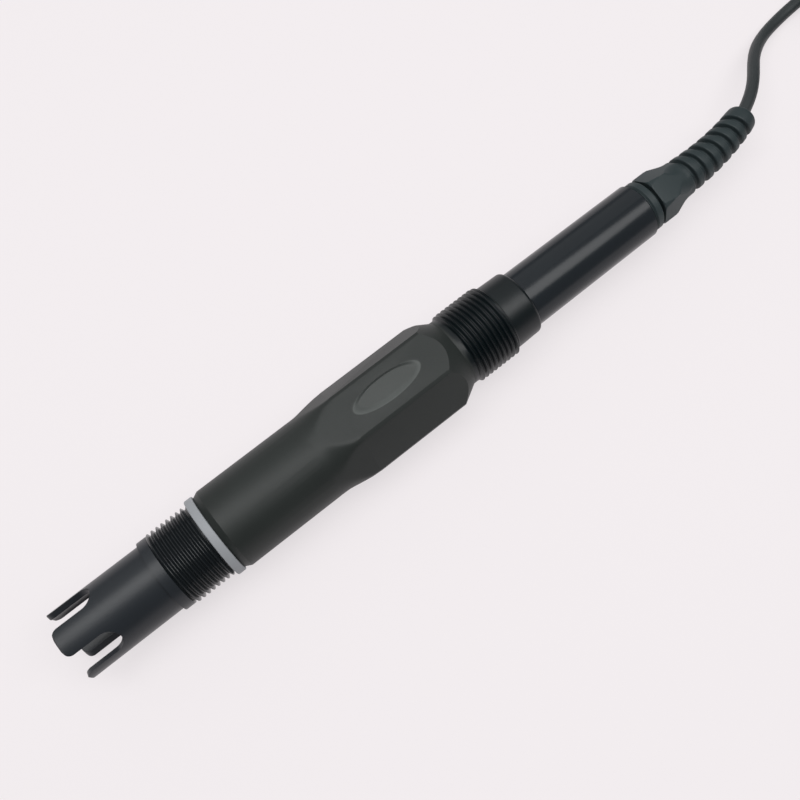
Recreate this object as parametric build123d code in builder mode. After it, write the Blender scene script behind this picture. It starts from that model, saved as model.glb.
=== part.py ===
from build123d import *
from math import cos, pi, radians, sin, sqrt, tan
import os

os.makedirs("parts", exist_ok=True)

# A process pH electrode, in millimetres. It lies on one flat of its hexagon, with the guard
# towards -X, the cable towards +X and +Z up. A station is a distance along the axis from the
# tips of the guard.

# Guard and front shell, turned and milled from one piece
guard_diameter = 23.6
guard_wall = 2.0
guard_length = 33.8
prong_count = 4
slot_width = 8.6
slot_depth = 15.6
guard_roll_deg = 4.5
prong_corner_radius = 2.5
tip_round = 0.5
sensor_bore_depth = 20.0
lead_in_diameter = 25.5
lead_in_length = 3.3
thread_major_diameter = 26.44
thread_minor_diameter = 24.12
thread_chamfer = 0.9
lower_thread_length = 15.3
chamber_diameter = 15.0
spigot_diameter = 22.0
spigot_length = 20.0
spigot_chamfer = 0.8

# Mounting gasket
gasket_thickness = 2.9
gasket_diameter = 28.3

# Grip, hexagon, upper thread and collar, moulded as one body
grip_diameter = 28.7
grip_length = 40.7
grip_front_chamfer = 1.1
grip_front_chamfer_length = 2.2
hex_across_flats = 28.8
hex_corner_diameter = 32.5
front_cone_length = 8.2
hex_length = 37.4
rear_cone_length = 7.0
neck_diameter = 24.5
neck_length = 2.0
upper_thread_length = 17.4
collar_diameter = 23.9
collar_end_diameter = 23.4
collar_length = 9.9
collar_round = 1.2
body_bore_diameter = 18.0
recess_length = 26.0
recess_width = 8.8
recess_depth = 0.8
recess_wall_run = 1.4

# Tail tube
tail_diameter = 20.6
tail_end_diameter = 20.0
tail_exposed_length = 53.2
tail_bore_diameter = 16.0
tail_socket_depth = 17.9
tail_end_chamfer = 0.7
gland_bore_diameter = 12.5
gland_bore_depth = 12.0

# Cable gland
washer_thickness = 0.5
washer_diameter = 17.4
flange_diameter = 18.5
flange_thickness = 3.0
flange_chamfer = 0.5
gland_shank_length = 9.0
gland_cup_length = 8.0
gland_cup_wall = 2.0
gland_thread_diameter = 13.2
nut_gap = 1.3
nut_across_flats = 16.5
nut_corner_diameter = 18.4
nut_hex_length = 6.4
nut_front_chamfer = 0.8
nut_flare_length = 7.5
nut_flare_sag = 0.45
nut_roll_deg = 15.0
claw_length = 4.2
claw_wall = 1.9
claw_slot_width = 0.9
claw_slot_count = 8
claw_ring_share = 0.25

# Spiral boot, moulded on the nut
boot_start_diameter = 13.9
boot_end_diameter = 10.7
boot_length = 35.5
boot_straight_length = 6.0
boot_bend_deg = 16.3
boot_section_count = 5
boot_rib_count = 7
boot_rib_pitch = 4.5
boot_groove_width = 2.6
boot_groove_depth = 1.6
boot_groove_slant_deg = 9.0
boot_bore_diameter = 6.0
boot_tip_round = 2.3

# Sensor parts inside the shell
glass_wall = 0.5
stem_diameter = 8.0
stem_end_past_shell = 4.7
bulb_diameter = 9.5
bulb_tip_recess = 12.0
junction_ring_length = 5.0
chamber_plug_length = 9.0
stem_stopper_length = 6.0
wire_diameter = 0.7
silver_wire_clearance_from_bulb = 4.0
wire_end_past_stem = 4.0
reference_wire_clearance = 1.6
oring_section = 1.8
oring_spacing = 8.0
oring_first_station_share = 0.3

# Leads, potting and cable
lead_diameter = 1.2
cable_diameter = 4.5
cable_inside_length = 31.1
cable_exit_offset = 0.5
cable_exit_deg = 22.0
lead_spacing = 1.5
lead_bend_start_share = 0.35
lead_bend_end_share = 0.85
lead_bend_radius = 40.0
potting_length = 22.0
potting_lead_cover = 5.0

# Clearances
glue_gap = 0.05
running_gap = 0.1
seat_gap = 0.3
cut_overrun = 1.0

# Cord, put away as a tied hank. The steps are places counted from the exit.
cord_exit_run = 6.0
cord_steps = [
    (13.9, 7.6, -1.2),
    (25.3, 17.2, -6.2),
    (36.5, 22.6, -10.7),
    (48.0, 24.9, -12.1),
    (59.9, 25.6, -11.1),
    (70.0, 25.6, -11.1),
]
corner_share = 0.45
hank_run = 78.0
hank_inner_bend_radius = 13.5
hank_columns = 3
hank_layers = 6
hank_entry_length = 20.0
hank_entry_cover_share = 0.25
hank_rim_share = 0.75
tie_thickness = 1.0
tie_width = 3.6
tie_run_share = 0.9
tie_head_length = 5.0
tie_head_width = 4.6
tie_head_height = 3.2
tie_head_round = 0.5

# End of the cord: a shrunk sleeve, two leads and two pin terminals
sleeve_diameter = 6.0
sleeve_tip_diameter = 4.4
sleeve_length = 16.0
sleeve_cable_cover = 8.0
sleeve_shrink_share = 0.75
tail_ramp_length = 16.0
tail_straight_length = 4.0
tail_lead_length = 12.0
tail_lead_spread = 2.4
tail_lead_bend_radius = 5.0
pin_diameter = 1.3
pin_tip_diameter = 0.65
pin_length = 9.0
pin_barrel_diameter = 1.9
pin_barrel_length = 6.5
pin_sleeve_diameter = 2.9
pin_sleeve_length = 7.5
pin_sleeve_lip = 0.2

# Stations along the axis, worked out from the lengths above
guard_end = guard_length
lower_thread_start = guard_end + lead_in_length
lower_thread_end = lower_thread_start + lower_thread_length
body_front = lower_thread_end + gasket_thickness
spigot_end = body_front + spigot_length
grip_end = body_front + grip_length
hex_start = grip_end + front_cone_length
hex_end = hex_start + hex_length
neck_start = hex_end + rear_cone_length
upper_thread_start = neck_start + neck_length
upper_thread_end = upper_thread_start + upper_thread_length
collar_end = upper_thread_end + collar_length
tail_start = collar_end - tail_socket_depth
tail_end = collar_end + tail_exposed_length
flange_start = tail_end + washer_thickness
flange_end = flange_start + flange_thickness
nut_start = flange_end + nut_gap
nut_hex_end = nut_start + nut_hex_length
boot_start = nut_hex_end + nut_flare_length

# The boot runs straight, and then follows one arc towards +Y.
boot_bend = radians(boot_bend_deg)
boot_bend_radius = (boot_length - boot_straight_length) / boot_bend
boot_bend_start = boot_start + boot_straight_length
boot_end_station = boot_bend_start + boot_bend_radius * sin(boot_bend)
boot_tip_reach = (boot_end_diameter / 2 - boot_tip_round) * sin(boot_bend) + boot_tip_round * (
    1 - cos(boot_bend)
)
overall_length = boot_end_station + boot_tip_reach

# The frame: the origin is at the bottom centre of the electrode without its free cord.
axis_height = hex_across_flats / 2
tip_x = -overall_length / 2
spindle = Axis((tip_x, 0, axis_height), (1, 0, 0))
profile_plane = Plane(origin=(tip_x, 0, axis_height), x_dir=(1, 0, 0), z_dir=(0, -1, 0))


def cross_plane(station, offset=0.0):
    """A plane square to the axis, with x along +Y and y along +Z, moved sideways by an offset."""
    return Plane(
        origin=(tip_x + station, offset, axis_height), x_dir=(0, 1, 0), z_dir=(1, 0, 0)
    )


def boot_turn(length):
    """The angle by which the boot has turned at a length along its centre line."""
    return max(length - boot_straight_length, 0) / boot_bend_radius


def boot_point(length):
    """The centre of the boot at a length along its centre line."""
    turn = boot_turn(length)
    return (
        tip_x + boot_start + min(length, boot_straight_length) + boot_bend_radius * sin(turn),
        boot_bend_radius * (1 - cos(turn)),
        axis_height,
    )


def boot_plane(length, slant=0.0):
    """A plane across the boot at a length along its centre line, turned about the vertical."""
    turn = boot_turn(length) + slant
    return Plane(origin=boot_point(length), x_dir=(0, 0, 1), z_dir=(cos(turn), sin(turn), 0))


# Front shell: guard with four prongs, lower thread and the spigot that enters the grip
guard_radius = guard_diameter / 2
chamber_radius = chamber_diameter / 2
major_radius = thread_major_diameter / 2
minor_radius = thread_minor_diameter / 2
spigot_radius = spigot_diameter / 2
guard_bore_radius = guard_radius - guard_wall
oring_radius = oring_section / 2
oring_groove_radius = spigot_radius + glue_gap - oring_section - glue_gap / 2
oring_groove_width = oring_section + seat_gap * 2
oring_stations = [
    body_front + spigot_length * oring_first_station_share + oring_spacing * i for i in range(2)
]
mouth_half = slot_width / 2 + prong_corner_radius
diagonal = cos(pi / 4)

with BuildPart() as front_shell:
    with BuildSketch(profile_plane):
        with BuildLine():
            Polyline(
                (0, guard_bore_radius + tip_round),
                (0, guard_radius - tip_round),
                (tip_round, guard_radius),
                (guard_end, guard_radius),
                (guard_end, lead_in_diameter / 2),
                (lower_thread_start, lead_in_diameter / 2),
                (lower_thread_start + thread_chamfer, major_radius),
                (lower_thread_end - thread_chamfer, major_radius),
                (lower_thread_end, minor_radius),
                (body_front, minor_radius),
                (body_front, spigot_radius),
                (spigot_end - spigot_chamfer, spigot_radius),
                (spigot_end, spigot_radius - spigot_chamfer),
                (spigot_end, chamber_radius),
                (sensor_bore_depth, chamber_radius),
                (sensor_bore_depth, guard_bore_radius),
                (tip_round, guard_bore_radius),
                close=True,
            )
        make_face()
    revolve(axis=spindle)
    for i in range(prong_count):
        turn = pi / prong_count * (2 * i + 1) + radians(guard_roll_deg)
        slot_plane = Plane(
            origin=(tip_x, 0, axis_height), x_dir=(1, 0, 0), z_dir=(0, cos(turn), sin(turn))
        )
        with BuildSketch(slot_plane):
            with BuildLine():
                Line((-cut_overrun, mouth_half), (-cut_overrun, -mouth_half))
                Line((-cut_overrun, -mouth_half), (0, -mouth_half))
                ThreePointArc(
                    (0, -mouth_half),
                    (
                        prong_corner_radius * (1 - diagonal),
                        prong_corner_radius * diagonal - mouth_half,
                    ),
                    (prong_corner_radius, -slot_width / 2),
                )
                Line(
                    (prong_corner_radius, -slot_width / 2),
                    (slot_depth - slot_width / 2, -slot_width / 2),
                )
                ThreePointArc(
                    (slot_depth - slot_width / 2, -slot_width / 2),
                    (slot_depth, 0),
                    (slot_depth - slot_width / 2, slot_width / 2),
                )
                Line(
                    (slot_depth - slot_width / 2, slot_width / 2),
                    (prong_corner_radius, slot_width / 2),
                )
                ThreePointArc(
                    (prong_corner_radius, slot_width / 2),
                    (
                        prong_corner_radius * (1 - diagonal),
                        mouth_half - prong_corner_radius * diagonal,
                    ),
                    (0, mouth_half),
                )
                Line((0, mouth_half), (-cut_overrun, mouth_half))
            make_face()
        extrude(amount=guard_radius + cut_overrun, mode=Mode.SUBTRACT)
    for station in oring_stations:
        with BuildSketch(cross_plane(station - oring_groove_width / 2)):
            Circle(spigot_radius + cut_overrun)
            Circle(oring_groove_radius, mode=Mode.SUBTRACT)
        extrude(amount=oring_groove_width, mode=Mode.SUBTRACT)
front_shell.part.label = "front_shell"
export_step(front_shell.part, "parts/front_shell.step")

# Mounting gasket: a flat ring in the undercut between the lower thread and the grip
with BuildPart() as gasket:
    with BuildSketch(cross_plane(lower_thread_end)):
        Circle(gasket_diameter / 2)
        Circle(minor_radius + glue_gap, mode=Mode.SUBTRACT)
    extrude(amount=gasket_thickness)
gasket.part.label = "gasket"
export_step(gasket.part, "parts/gasket.step")

# Two rings that seal the spigot in the bore of the grip
for name, station in zip(("front_oring", "rear_oring"), oring_stations):
    with BuildPart() as spigot_oring:
        with BuildSketch(profile_plane):
            with Locations((station, oring_groove_radius + oring_radius)):
                Circle(oring_radius)
        revolve(axis=spindle)
    spigot_oring.part.label = name
    export_step(spigot_oring.part, f"parts/{name}.step")

# Grip body: grip, hexagon with its blank oval recess, upper thread and collar, in one piece
grip_radius = grip_diameter / 2
corner_radius = hex_corner_diameter / 2
neck_radius = neck_diameter / 2
collar_radius = collar_diameter / 2
collar_end_radius = collar_end_diameter / 2
tail_radius = tail_diameter / 2
body_bore_radius = body_bore_diameter / 2
spigot_bore_end = spigot_end + seat_gap
recess_wall_slope = recess_wall_run / recess_depth
recess_centre = tip_x + (hex_start + hex_end) / 2

with BuildPart() as grip_body:
    with BuildSketch(profile_plane):
        with BuildLine():
            Polyline(
                (body_front, spigot_radius + glue_gap),
                (body_front, grip_radius - grip_front_chamfer),
                (body_front + grip_front_chamfer_length, grip_radius),
                (grip_end, grip_radius),
                (hex_start, corner_radius),
                (hex_end, corner_radius),
                (neck_start, neck_radius),
                (upper_thread_start, neck_radius),
                (upper_thread_start + thread_chamfer, major_radius),
                (upper_thread_end - thread_chamfer, major_radius),
                (upper_thread_end, collar_radius),
                (collar_end - collar_round, collar_end_radius),
            )
            RadiusArc(
                (collar_end - collar_round, collar_end_radius),
                (collar_end, collar_end_radius - collar_round),
                collar_round,
            )
            Polyline(
                (collar_end, collar_end_radius - collar_round),
                (collar_end, tail_radius + glue_gap),
                (tail_start, tail_radius + glue_gap),
                (tail_start, body_bore_radius),
                (spigot_bore_end, body_bore_radius),
                (spigot_bore_end, spigot_radius + glue_gap),
                (body_front, spigot_radius + glue_gap),
            )
        make_face()
    revolve(axis=spindle)
    with BuildSketch(cross_plane(grip_end)):
        Circle(corner_radius + cut_overrun)
        RegularPolygon(
            hex_across_flats / 2, 6, major_radius=False, mode=Mode.SUBTRACT
        )
    extrude(amount=neck_start - grip_end, mode=Mode.SUBTRACT)
    for rise in (cut_overrun, -recess_depth):
        recess_plane = Plane(origin=(recess_centre, 0, hex_across_flats + rise))
        widening = rise * recess_wall_slope
        with BuildSketch(recess_plane):
            Ellipse(recess_length / 2 + widening, recess_width / 2 + widening)
    loft(mode=Mode.SUBTRACT)
grip_body.part.label = "grip_body"
export_step(grip_body.part, "parts/grip_body.step")

# Tail tube: glued into the collar, with a bored and tapped end for the cable gland
tail_end_radius = tail_end_diameter / 2
tail_bore_radius = tail_bore_diameter / 2
gland_bore_radius = gland_bore_diameter / 2

with BuildPart() as tail_tube:
    with BuildSketch(profile_plane):
        with BuildLine():
            Polyline(
                (tail_start, tail_bore_radius),
                (tail_start, tail_radius),
                (collar_end, tail_radius),
                (tail_end - tail_end_chamfer, tail_end_radius),
                (tail_end, tail_end_radius - tail_end_chamfer),
                (tail_end, gland_bore_radius),
                (tail_end - gland_bore_depth, gland_bore_radius),
                (tail_end - gland_bore_depth, tail_bore_radius),
                close=True,
            )
        make_face()
    revolve(axis=spindle)
tail_tube.part.label = "tail_tube"
export_step(tail_tube.part, "parts/tail_tube.step")

# Washer between the tail tube and the gland
shank_radius = gland_bore_radius - glue_gap
with BuildPart() as gland_washer:
    with BuildSketch(cross_plane(tail_end)):
        Circle(washer_diameter / 2)
        Circle(gland_bore_radius, mode=Mode.SUBTRACT)
    extrude(amount=washer_thickness)
gland_washer.part.label = "gland_washer"
export_step(gland_washer.part, "parts/gland_washer.step")

# Gland body: threaded shank, flange and the cup that holds the rubber seal
cable_radius = cable_diameter / 2
gland_passage_radius = cable_radius + seat_gap
gland_thread_radius = gland_thread_diameter / 2
flange_radius = flange_diameter / 2
cup_radius = gland_thread_radius - gland_cup_wall
cup_end = nut_start + gland_cup_length
cup_floor = flange_end + seat_gap

with BuildPart() as gland_body:
    with BuildSketch(profile_plane):
        with BuildLine():
            Polyline(
                (tail_end - gland_shank_length, gland_passage_radius),
                (tail_end - gland_shank_length, shank_radius),
                (flange_start, shank_radius),
                (flange_start, flange_radius - flange_chamfer),
                (flange_start + flange_chamfer, flange_radius),
                (flange_end - flange_chamfer, flange_radius),
                (flange_end, flange_radius - flange_chamfer),
                (flange_end, gland_thread_radius),
                (cup_end, gland_thread_radius),
                (cup_end, cup_radius),
                (cup_floor, cup_radius),
                (cup_floor, gland_passage_radius),
                close=True,
            )
        make_face()
    revolve(axis=spindle)
gland_body.part.label = "gland_body"
export_step(gland_body.part, "parts/gland_body.step")

# Rubber seal that grips the cable inside the cup
with BuildPart() as gland_seal:
    with BuildSketch(cross_plane(cup_floor)):
        Circle(cup_radius - glue_gap)
        Circle(cable_radius + glue_gap, mode=Mode.SUBTRACT)
    extrude(amount=cup_end - cup_floor)
gland_seal.part.label = "gland_seal"
export_step(gland_seal.part, "parts/gland_seal.step")

# Clamping claw: a slotted cone that the nut presses on the seal and the cable
nut_thread_radius = gland_thread_radius + running_gap
boot_bore_radius = boot_bore_diameter / 2
nut_socket_end = cup_end + seat_gap
claw_start = cup_end
claw_end = claw_start + claw_length
claw_front_radius = gland_thread_radius - seat_gap
claw_rear_radius = cable_radius + claw_wall

with BuildPart() as gland_claw:
    with BuildSketch(profile_plane):
        with BuildLine():
            Polyline(
                (claw_start, cable_radius + running_gap),
                (claw_start, claw_front_radius),
                (claw_end, claw_rear_radius),
                (claw_end, cable_radius + running_gap),
                close=True,
            )
        make_face()
    revolve(axis=spindle)
    with BuildSketch(cross_plane(claw_start + claw_length * claw_ring_share)):
        with PolarLocations(claw_front_radius, claw_slot_count):
            Rectangle(claw_front_radius * 2, claw_slot_width)
        Circle(cable_radius, mode=Mode.SUBTRACT)
    extrude(amount=claw_length, mode=Mode.SUBTRACT)
gland_claw.part.label = "gland_claw"
export_step(gland_claw.part, "parts/gland_claw.step")

# Gland nut: hexagon, flare and the bent spiral boot, moulded as one piece
nut_corner_radius = nut_corner_diameter / 2
boot_start_radius = boot_start_diameter / 2
boot_end_radius = boot_end_diameter / 2
boot_groove_slant = radians(boot_groove_slant_deg)
boot_first_groove = boot_groove_width / 2
nut_bore_cone_end = claw_end + seat_gap


def boot_radius(length):
    """The outer radius of the tapered boot at a length along its centre line."""
    return boot_start_radius + (boot_end_radius - boot_start_radius) * length / boot_length


with BuildPart() as gland_nut:
    with BuildSketch(profile_plane):
        with BuildLine():
            Polyline(
                (nut_start, 0),
                (nut_start, nut_corner_radius - nut_front_chamfer),
                (nut_start + nut_front_chamfer, nut_corner_radius),
                (nut_hex_end, nut_corner_radius),
            )
            ThreePointArc(
                (nut_hex_end, nut_corner_radius),
                (
                    (nut_hex_end + boot_start) / 2,
                    (nut_corner_radius + boot_start_radius) / 2 - nut_flare_sag,
                ),
                (boot_start, boot_start_radius),
            )
            Polyline(
                (boot_start, boot_start_radius),
                (boot_start, 0),
                (nut_start, 0),
            )
        make_face()
    revolve(axis=spindle)
    with BuildSketch(cross_plane(nut_start)):
        Circle(nut_corner_radius + cut_overrun)
        RegularPolygon(
            nut_across_flats / 2,
            6,
            major_radius=False,
            rotation=nut_roll_deg,
            mode=Mode.SUBTRACT,
        )
    extrude(amount=boot_start - nut_start, mode=Mode.SUBTRACT)
    for i in range(boot_section_count):
        section_length = boot_length * i / (boot_section_count - 1)
        with BuildSketch(boot_plane(section_length)):
            Circle(boot_radius(section_length))
    loft()
    fillet(gland_nut.faces().sort_by(Axis.X)[-1].edges(), radius=boot_tip_round)
    for i in range(boot_rib_count):
        groove_length = boot_first_groove + boot_rib_pitch * i
        with BuildSketch(boot_plane(groove_length, boot_groove_slant)):
            Circle(boot_start_radius + cut_overrun)
            Circle(boot_radius(groove_length) - boot_groove_depth, mode=Mode.SUBTRACT)
        extrude(amount=boot_groove_width / 2, both=True, mode=Mode.SUBTRACT)
    with BuildSketch(profile_plane):
        with BuildLine():
            Polyline(
                (nut_start - cut_overrun, 0),
                (nut_start - cut_overrun, nut_thread_radius),
                (nut_socket_end, nut_thread_radius),
                (nut_bore_cone_end, claw_rear_radius),
                (nut_bore_cone_end, boot_bore_radius),
                (boot_start, boot_bore_radius),
                (boot_start, 0),
                close=True,
            )
        make_face()
    revolve(axis=spindle, mode=Mode.SUBTRACT)
    with BuildLine(Plane.XY.offset(axis_height)) as boot_line:
        Line(boot_point(0)[:2], boot_point(boot_straight_length)[:2])
        RadiusArc(
            boot_point(boot_straight_length)[:2],
            boot_point(boot_length + cut_overrun)[:2],
            -boot_bend_radius,
        )
    with BuildSketch(boot_plane(0)):
        Circle(boot_bore_radius)
    sweep(path=boot_line.wires()[0], mode=Mode.SUBTRACT)
gland_nut.part.label = "gland_nut"
export_step(gland_nut.part, "parts/gland_nut.step")

# Glass electrode: the thin bulb blown on the end of its stem tube
bulb_radius = bulb_diameter / 2
stem_radius = stem_diameter / 2
bulb_centre = bulb_tip_recess + bulb_radius
stem_end = spigot_end + stem_end_past_shell
bulb_inner_radius = bulb_radius - glass_wall
stem_inner_radius = stem_radius - glass_wall

with BuildPart() as glass_bulb:
    with BuildSketch(profile_plane):
        with BuildLine():
            ThreePointArc(
                (bulb_tip_recess, 0),
                (bulb_centre, bulb_radius),
                (bulb_centre + sqrt(bulb_radius**2 - stem_radius**2), stem_radius),
            )
            Polyline(
                (bulb_centre + sqrt(bulb_radius**2 - stem_radius**2), stem_radius),
                (stem_end, stem_radius),
                (stem_end, stem_inner_radius),
                (
                    bulb_centre + sqrt(bulb_inner_radius**2 - stem_inner_radius**2),
                    stem_inner_radius,
                ),
            )
            ThreePointArc(
                (
                    bulb_centre + sqrt(bulb_inner_radius**2 - stem_inner_radius**2),
                    stem_inner_radius,
                ),
                (bulb_centre, bulb_inner_radius),
                (bulb_tip_recess + glass_wall, 0),
            )
            Line((bulb_tip_recess + glass_wall, 0), (bulb_tip_recess, 0))
        make_face()
    revolve(axis=spindle)
glass_bulb.part.label = "glass_bulb"
export_step(glass_bulb.part, "parts/glass_bulb.step")

# Porous junction ring round the stem, flush with the shoulder behind the bulb
with BuildPart() as junction_ring:
    with BuildSketch(cross_plane(sensor_bore_depth)):
        Circle(chamber_radius - glue_gap)
        Circle(stem_radius + glue_gap, mode=Mode.SUBTRACT)
    extrude(amount=junction_ring_length)
junction_ring.part.label = "junction_ring"
export_step(junction_ring.part, "parts/junction_ring.step")

# Ring that seals the stem behind the junction
stem_oring_radius = (chamber_radius - stem_radius) / 2 - glue_gap / 2
with BuildPart() as stem_oring:
    with BuildSketch(profile_plane):
        with Locations(
            (
                sensor_bore_depth + junction_ring_length + stem_oring_radius,
                (chamber_radius + stem_radius) / 2,
            )
        ):
            Circle(stem_oring_radius)
    revolve(axis=spindle)
stem_oring.part.label = "stem_oring"
export_step(stem_oring.part, "parts/stem_oring.step")

# Plug that closes the reference chamber, with holes for the stem and the reference wire
wire_radius = wire_diameter / 2
reference_offset = (chamber_radius + stem_radius) / 2
with BuildPart() as chamber_plug:
    with BuildSketch(cross_plane(spigot_end - chamber_plug_length)):
        Circle(chamber_radius - glue_gap)
        Circle(stem_radius + glue_gap, mode=Mode.SUBTRACT)
        with Locations((reference_offset, 0)):
            Circle(wire_radius + glue_gap, mode=Mode.SUBTRACT)
    extrude(amount=chamber_plug_length)
chamber_plug.part.label = "chamber_plug"
export_step(chamber_plug.part, "parts/chamber_plug.step")

# Stopper in the open end of the stem
with BuildPart() as stem_stopper:
    with BuildSketch(cross_plane(stem_end - stem_stopper_length)):
        Circle(stem_inner_radius - glue_gap)
        Circle(wire_radius + glue_gap, mode=Mode.SUBTRACT)
    extrude(amount=stem_stopper_length)
stem_stopper.part.label = "stem_stopper"
export_step(stem_stopper.part, "parts/stem_stopper.step")

# Silver wire inside the glass, and the reference wire in the chamber round it
wire_end = stem_end + wire_end_past_stem
silver_wire_start = bulb_tip_recess + silver_wire_clearance_from_bulb
with BuildPart() as silver_wire:
    with BuildSketch(cross_plane(silver_wire_start)):
        Circle(wire_radius)
    extrude(amount=wire_end - silver_wire_start)
silver_wire.part.label = "silver_wire"
export_step(silver_wire.part, "parts/silver_wire.step")

reference_wire_start = (
    sensor_bore_depth + junction_ring_length + 2 * stem_oring_radius + reference_wire_clearance
)
with BuildPart() as reference_wire:
    with BuildSketch(cross_plane(reference_wire_start, reference_offset)):
        Circle(wire_radius)
    extrude(amount=wire_end - reference_wire_start)
reference_wire.part.label = "reference_wire"
export_step(reference_wire.part, "parts/reference_wire.step")

# Insulated leads from the two wires to the core and the screen of the cable
lead_radius = lead_diameter / 2
cable_start = tail_end - cable_inside_length
lead_run = cable_start - wire_end
with BuildPart() as signal_lead:
    with BuildSketch(cross_plane(wire_end)):
        Circle(lead_radius)
    extrude(amount=lead_run)
signal_lead.part.label = "signal_lead"
export_step(signal_lead.part, "parts/signal_lead.step")

with BuildPart() as reference_lead:
    with BuildLine(Plane.XY.offset(axis_height)) as reference_lead_path:
        FilletPolyline(
            (tip_x + wire_end, reference_offset),
            (tip_x + wire_end + lead_run * lead_bend_start_share, reference_offset),
            (tip_x + wire_end + lead_run * lead_bend_end_share, lead_spacing),
            (tip_x + cable_start, lead_spacing),
            radius=lead_bend_radius,
        )
    with BuildSketch(cross_plane(wire_end, reference_offset)):
        Circle(lead_radius)
    sweep(path=reference_lead_path.wires()[0])
reference_lead.part.label = "reference_lead"
export_step(reference_lead.part, "parts/reference_lead.step")

# Potting that holds the end of the cable in the tail tube
potting_start = cable_start - potting_lead_cover
with BuildPart() as rear_potting:
    with BuildSketch(cross_plane(potting_start)):
        Circle(tail_bore_radius - glue_gap)
        with Locations((0, 0), (lead_spacing, 0)):
            Circle(lead_radius + glue_gap, mode=Mode.SUBTRACT)
    extrude(amount=potting_lead_cover)
    with BuildSketch(cross_plane(cable_start)):
        Circle(tail_bore_radius - glue_gap)
        Circle(cable_radius + glue_gap, mode=Mode.SUBTRACT)
    extrude(amount=potting_length - potting_lead_cover)
rear_potting.part.label = "rear_potting"
export_step(rear_potting.part, "parts/rear_potting.step")

# Cable inside the potting, the gland and the boot, up to the exit. It bends later and more than
# the boot, and leaves it on the +Y side of its bore.
cable_exit_turn = radians(cable_exit_deg)
boot_end = boot_point(boot_length)
exit_x = boot_end[0] - cable_exit_offset * sin(boot_bend)
exit_y = boot_end[1] + cable_exit_offset * cos(boot_bend)
cable_bend_radius = exit_y / (1 - cos(cable_exit_turn))
cable_bend_x = exit_x - cable_bend_radius * sin(cable_exit_turn)

with BuildPart() as inner_cable:
    with BuildLine(Plane.XY.offset(axis_height)) as inner_cable_path:
        Line((tip_x + cable_start, 0), (cable_bend_x, 0))
        RadiusArc((cable_bend_x, 0), (exit_x, exit_y), -cable_bend_radius)
    with BuildSketch(cross_plane(cable_start)):
        Circle(cable_radius)
    sweep(path=inner_cable_path.wires()[0])
inner_cable.part.label = "inner_cable"
export_step(inner_cable.part, "parts/inner_cable.step")

# Free cord from the exit down to the surface, and on to the hank
exit_point = Vector(exit_x, exit_y, axis_height)
exit_direction = Vector(cos(cable_exit_turn), sin(cable_exit_turn), 0)
cord_points = [exit_point, exit_point + exit_direction * cord_exit_run]
cord_points += [exit_point + Vector(*step) for step in cord_steps]
cord_runs = [b - a for a, b in zip(cord_points, cord_points[1:])]
cord_radii = [
    corner_share * min(a.length, b.length) / tan(radians(a.get_angle(b)) / 2)
    for a, b in zip(cord_runs, cord_runs[1:])
]
print("cord radii", [round(radius, 1) for radius in cord_radii])

with BuildPart() as cord:
    with BuildLine() as cord_path:
        FilletPolyline(*cord_points, radius=cord_radii)
    with BuildSketch(Plane(origin=cord_points[0], z_dir=cord_runs[0])):
        Circle(cable_radius)
    sweep(path=cord_path.wires()[0])
cord.part.label = "cord"
export_step(cord.part, "parts/cord.step")
cord_path_length = sum(edge.length for edge in cord_path.edges())
print(
    "cord tube volume over section times length",
    round(cord.part.volume / (pi * cable_radius**2 * cord_path_length), 4),
)

# Hank: the rest of the cord, folded into three columns and six layers of turns
entry = cord_points[-1]
hank_strand_radius = hank_inner_bend_radius + cable_diameter * (hank_columns - 1)
hank_outer_radius = hank_strand_radius + cable_radius
hank_hole_radius = hank_inner_bend_radius - cable_radius
hank_bottom = entry.Z - cable_radius
hank_top = hank_bottom + cable_diameter * hank_layers
hank_near_x = entry.X + hank_entry_length
hank_centre = (hank_near_x + hank_run / 2, entry.Y - hank_strand_radius)
sleeve_radius = sleeve_diameter / 2
tail_height = hank_top + sleeve_radius + running_gap
top_strand_height = hank_top - cable_radius
ramp_end_x = hank_near_x + tail_ramp_length
sleeve_start_x = ramp_end_x + tail_straight_length
cable_end_x = sleeve_start_x + sleeve_cable_cover

with BuildPart() as cord_hank:
    with BuildSketch(Plane(origin=(*hank_centre, hank_bottom))):
        SlotCenterToCenter(hank_run, hank_outer_radius * 2)
        SlotCenterToCenter(hank_run, hank_hole_radius * 2, mode=Mode.SUBTRACT)
    extrude(amount=hank_top - hank_bottom)
    rims = cord_hank.faces().filter_by(Axis.Z).edges()
    fillet(rims, radius=cable_radius * hank_rim_share)
    with BuildSketch(Plane(origin=entry, x_dir=(0, 1, 0), z_dir=(1, 0, 0))):
        Circle(cable_radius)
    extrude(amount=hank_entry_length + hank_run * hank_entry_cover_share)
    with BuildLine() as ramp_path:
        ramp_points = [
            Vector(hank_near_x, entry.Y, top_strand_height),
            Vector(ramp_end_x, entry.Y, tail_height),
            Vector(cable_end_x, entry.Y, tail_height),
        ]
        FilletPolyline(*ramp_points, radius=hank_inner_bend_radius)
    with BuildSketch(Plane(origin=ramp_points[0], z_dir=ramp_points[1] - ramp_points[0])):
        Circle(cable_radius)
    sweep(path=ramp_path.wires()[0])
cord_hank.part.label = "cord_hank"
export_step(cord_hank.part, "parts/cord_hank.step")

# Two nylon ties, one round the strands on each side of the hank
bundle_width = cable_diameter * hank_columns
bundle_height = hank_top - hank_bottom
bundle_offset = (hank_inner_bend_radius + hank_strand_radius) / 2
tie_x = hank_near_x + hank_run * tie_run_share
tie_inner_round = cable_radius / 2

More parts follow.
